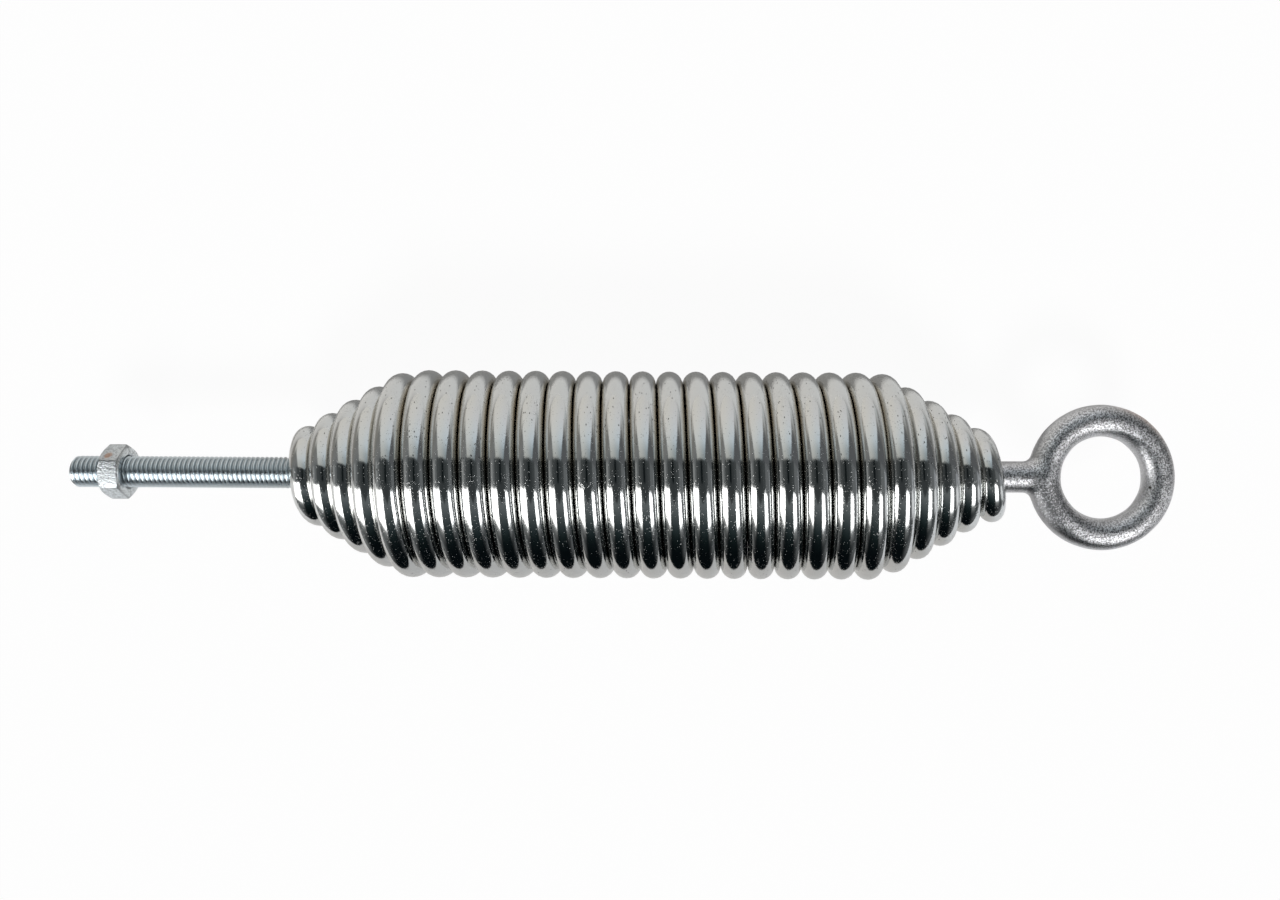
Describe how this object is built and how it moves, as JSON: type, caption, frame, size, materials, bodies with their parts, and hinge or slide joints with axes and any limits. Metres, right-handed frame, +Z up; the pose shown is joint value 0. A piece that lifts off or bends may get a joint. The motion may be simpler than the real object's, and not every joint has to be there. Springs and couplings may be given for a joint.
{
  "type": "tailgate spring",
  "caption": "Close-wound tension spring with drawn-in ends, a threaded bolt and nut at one end and a swivelling forged eye at the other, for balancing a tailgate or ramp.",
  "frame": {"origin": "on the surface that the coils lie on, under the middle of the whole length from the bolt's tip to the eye", "axes": "+X along the spring's axis towards the eye, +Z up from the surface, the eye's ring lying in a level plane"},
  "size_m": [0.4171, 0.0786, 0.0785],
  "materials": {
    "spring_wire": "bright polished zinc plating over round spring wire",
    "bolt_zinc": "bluish zinc plating",
    "nut_zinc": "grey zinc plating, slightly pitted",
    "forged_zinc": "zinc plating over a grainy forged surface"
  },
  "bodies": {
    "spring": {"coil_spring": "spring_wire"},
    "bolt": {"threaded_bolt": "bolt_zinc"},
    "nut": {"hex_nut": "nut_zinc"},
    "eye": {"eye_bolt": "forged_zinc"}
  },
  "joints": [
    {"name": "spring_stretch", "type": "slide", "parent": "spring", "child": "bolt", "axis": [-1, 0, 0], "range_m": [0, 0.1], "stiffness_N_per_m": 14400, "deforming": ["coil_spring"]},
    {"name": "nut_travel", "type": "slide", "parent": "bolt", "child": "nut", "axis": [1, 0, 0], "range_m": [-0.0105, 0.056]},
    {"name": "eye_swivel", "type": "hinge", "parent": "spring", "child": "eye", "pos_m": [0.1424, 0, 0.03925], "axis": [1, 0, 0], "continuous": true}
  ]
}
